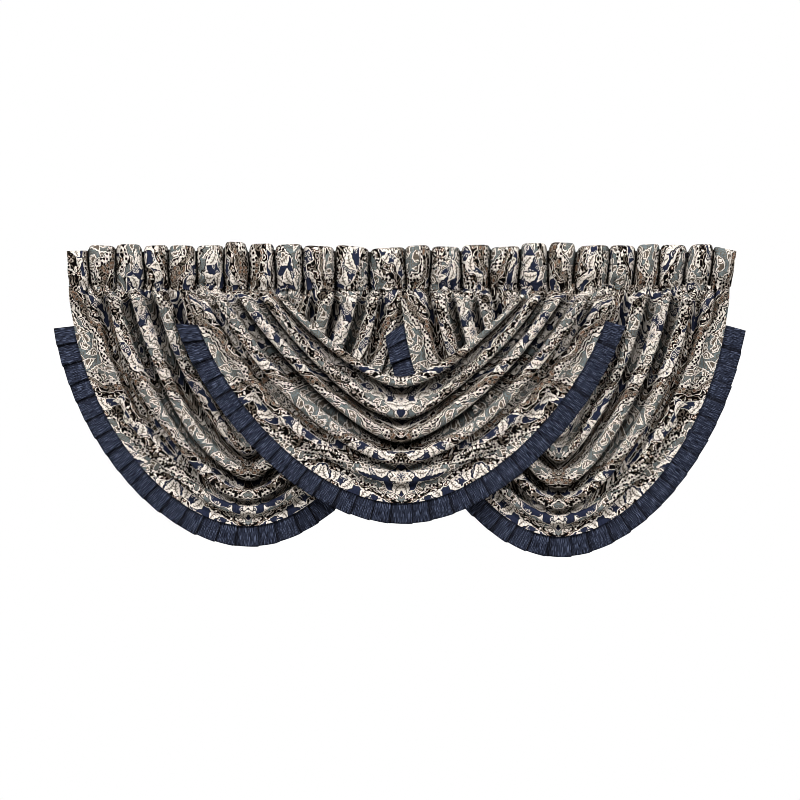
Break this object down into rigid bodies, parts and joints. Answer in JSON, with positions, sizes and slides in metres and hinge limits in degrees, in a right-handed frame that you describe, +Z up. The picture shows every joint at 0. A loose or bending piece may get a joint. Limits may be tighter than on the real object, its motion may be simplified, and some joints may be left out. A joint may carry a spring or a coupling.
{
  "type": "rod-pocket swag valance",
  "caption": "Gathered rod-pocket valance of overlapping draped swags, each edged with a pleated ruffle, that hangs across the top of a window.",
  "frame": {"origin": "middle of the top edge of the heading, halfway through the rod pocket's depth", "axes": "+X along the rod, to the right as seen from the room, -Y towards the room, +Z up"},
  "size_m": [1.2448, 0.0747, 0.5642],
  "materials": {
    "jacquard": "woven ornamental jacquard in cream, taupe, navy and slate blue",
    "navy_ruffle": "matt slubbed navy cloth in knife pleats"
  },
  "bodies": {
    "root": {"rod_pocket": "jacquard", "swag_left": "jacquard", "swag_right": "jacquard", "swag_centre": "jacquard", "ruffle_left": "navy_ruffle", "ruffle_right": "navy_ruffle", "ruffle_centre": "navy_ruffle"}
  },
  "joints": []
}
